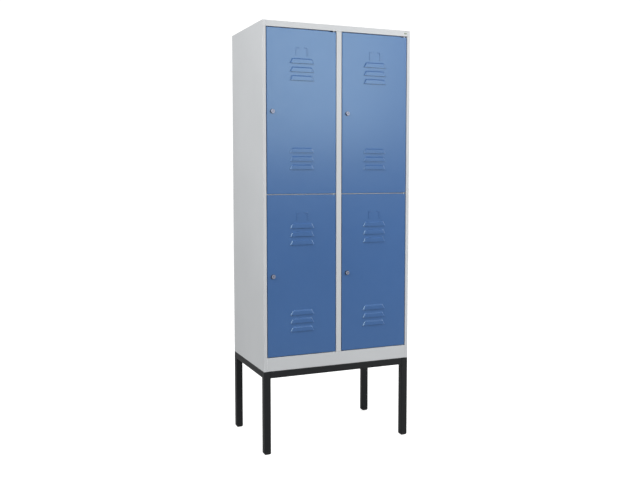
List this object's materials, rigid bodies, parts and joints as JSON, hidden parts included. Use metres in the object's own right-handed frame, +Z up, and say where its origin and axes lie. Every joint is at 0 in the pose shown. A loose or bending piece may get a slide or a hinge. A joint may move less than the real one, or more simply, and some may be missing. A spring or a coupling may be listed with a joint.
{
  "type": "school locker",
  "caption": "Steel cloakroom locker with inset louvred doors, cam locks, inner shelves and clothes rails, standing on a raised square-tube base frame.",
  "frame": {"origin": "on the floor under the middle of the bounding box", "axes": "+Z up, the doors face -Y, +X to the right of someone facing the doors"},
  "size_m": [0.8, 0.508, 2.12],
  "materials": {
    "carcass_grey": "fine powder coat, satin",
    "door_blue": "fine powder coat, satin",
    "base_black": "fine powder coat, satin",
    "foot_plastic": "moulded, matt",
    "lock_metal": "satin nickel plate",
    "zinc_steel": "bright zinc plate",
    "nylon_grey": "moulded nylon",
    "rubber_grey": "soft rubber",
    "rail_metal": "drawn tube, satin",
    "hook_plastic": "moulded, slight gloss",
    "plate_grey": "brushed, blank"
  },
  "bodies": {
    "cabinet": {"left_side_panel": "carcass_grey", "right_side_panel": "carcass_grey", "back_panel": "carcass_grey", "top_panel": "carcass_grey", "bottom_panel": "carcass_grey", "centre_partition": "carcass_grey", "centre_stile": "carcass_grey", "left_shelf": "carcass_grey", "right_shelf": "carcass_grey", "base_leg_front_left": "base_black", "base_leg_front_right": "base_black", "base_leg_back_left": "base_black", "base_leg_back_right": "base_black", "base_rail_front": "base_black", "base_rail_back": "base_black", "base_rail_left": "base_black", "base_rail_right": "base_black", "feet": "foot_plastic", "base_bolts": "zinc_steel", "hinge_pins": "zinc_steel", "door_buffers": "rubber_grey", "clothes_rails": "rail_metal", "rail_brackets": "zinc_steel", "maker_plate": "plate_grey"},
    "door_upper_left": {"door_panel_upper_left": "door_blue", "door_stiffener_upper_left": "door_blue", "hinge_bushes_upper_left": "nylon_grey", "lock_housing_upper_left": "lock_metal", "lock_nut_upper_left": "zinc_steel"},
    "lock_upper_left": {"lock_barrel_upper_left": "lock_metal", "lock_cam_upper_left": "zinc_steel"},
    "left_hook_upper_left": {"left_hook_upper_left": "hook_plastic"},
    "right_hook_upper_left": {"right_hook_upper_left": "hook_plastic"},
    "door_upper_right": {"door_panel_upper_right": "door_blue", "door_stiffener_upper_right": "door_blue", "hinge_bushes_upper_right": "nylon_grey", "lock_housing_upper_right": "lock_metal", "lock_nut_upper_right": "zinc_steel"},
    "lock_upper_right": {"lock_barrel_upper_right": "lock_metal", "lock_cam_upper_right": "zinc_steel"},
    "left_hook_upper_right": {"left_hook_upper_right": "hook_plastic"},
    "right_hook_upper_right": {"right_hook_upper_right": "hook_plastic"},
    "door_lower_left": {"door_panel_lower_left": "door_blue", "door_stiffener_lower_left": "door_blue", "hinge_bushes_lower_left": "nylon_grey", "lock_housing_lower_left": "lock_metal", "lock_nut_lower_left": "zinc_steel"},
    "lock_lower_left": {"lock_barrel_lower_left": "lock_metal", "lock_cam_lower_left": "zinc_steel"},
    "left_hook_lower_left": {"left_hook_lower_left": "hook_plastic"},
    "right_hook_lower_left": {"right_hook_lower_left": "hook_plastic"},
    "door_lower_right": {"door_panel_lower_right": "door_blue", "door_stiffener_lower_right": "door_blue", "hinge_bushes_lower_right": "nylon_grey", "lock_housing_lower_right": "lock_metal", "lock_nut_lower_right": "zinc_steel"},
    "lock_lower_right": {"lock_barrel_lower_right": "lock_metal", "lock_cam_lower_right": "zinc_steel"},
    "left_hook_lower_right": {"left_hook_lower_right": "hook_plastic"},
    "right_hook_lower_right": {"right_hook_lower_right": "hook_plastic"}
  },
  "joints": [
    {"name": "door_hinge_upper_left", "type": "hinge", "parent": "cabinet", "child": "door_upper_left", "pos_m": [-0.027, -0.239, 1.68955], "axis": [0, 0, 1], "range_deg": [0, 110]},
    {"name": "lock_turn_upper_left", "type": "hinge", "parent": "door_upper_left", "child": "lock_upper_left", "pos_m": [-0.3505, -0.246, 1.68955], "axis": [0, 1, 0], "range_deg": [0, 90]},
    {"name": "slide_left_hook_upper_left", "type": "slide", "parent": "cabinet", "child": "left_hook_upper_left", "axis": [1, 0, 0], "range_m": [-0.095, 0.07]},
    {"name": "slide_right_hook_upper_left", "type": "slide", "parent": "cabinet", "child": "right_hook_upper_left", "axis": [1, 0, 0], "range_m": [-0.07, 0.095]},
    {"name": "door_hinge_upper_right", "type": "hinge", "parent": "cabinet", "child": "door_upper_right", "pos_m": [0.37, -0.239, 1.68955], "axis": [0, 0, 1], "range_deg": [0, 110]},
    {"name": "lock_turn_upper_right", "type": "hinge", "parent": "door_upper_right", "child": "lock_upper_right", "pos_m": [0.0465, -0.246, 1.68955], "axis": [0, 1, 0], "range_deg": [0, 90]},
    {"name": "slide_left_hook_upper_right", "type": "slide", "parent": "cabinet", "child": "left_hook_upper_right", "axis": [1, 0, 0], "range_m": [-0.095, 0.07]},
    {"name": "slide_right_hook_upper_right", "type": "slide", "parent": "cabinet", "child": "right_hook_upper_right", "axis": [1, 0, 0], "range_m": [-0.07, 0.095]},
    {"name": "door_hinge_lower_left", "type": "hinge", "parent": "cabinet", "child": "door_lower_left", "pos_m": [-0.027, -0.239, 0.88845], "axis": [0, 0, 1], "range_deg": [0, 110]},
    {"name": "lock_turn_lower_left", "type": "hinge", "parent": "door_lower_left", "child": "lock_lower_left", "pos_m": [-0.3505, -0.246, 0.88845], "axis": [0, 1, 0], "range_deg": [0, 90]},
    {"name": "slide_left_hook_lower_left", "type": "slide", "parent": "cabinet", "child": "left_hook_lower_left", "axis": [1, 0, 0], "range_m": [-0.095, 0.07]},
    {"name": "slide_right_hook_lower_left", "type": "slide", "parent": "cabinet", "child": "right_hook_lower_left", "axis": [1, 0, 0], "range_m": [-0.07, 0.095]},
    {"name": "door_hinge_lower_right", "type": "hinge", "parent": "cabinet", "child": "door_lower_right", "pos_m": [0.37, -0.239, 0.88845], "axis": [0, 0, 1], "range_deg": [0, 110]},
    {"name": "lock_turn_lower_right", "type": "hinge", "parent": "door_lower_right", "child": "lock_lower_right", "pos_m": [0.0465, -0.246, 0.88845], "axis": [0, 1, 0], "range_deg": [0, 90]},
    {"name": "slide_left_hook_lower_right", "type": "slide", "parent": "cabinet", "child": "left_hook_lower_right", "axis": [1, 0, 0], "range_m": [-0.095, 0.07]},
    {"name": "slide_right_hook_lower_right", "type": "slide", "parent": "cabinet", "child": "right_hook_lower_right", "axis": [1, 0, 0], "range_m": [-0.07, 0.095]}
  ]
}
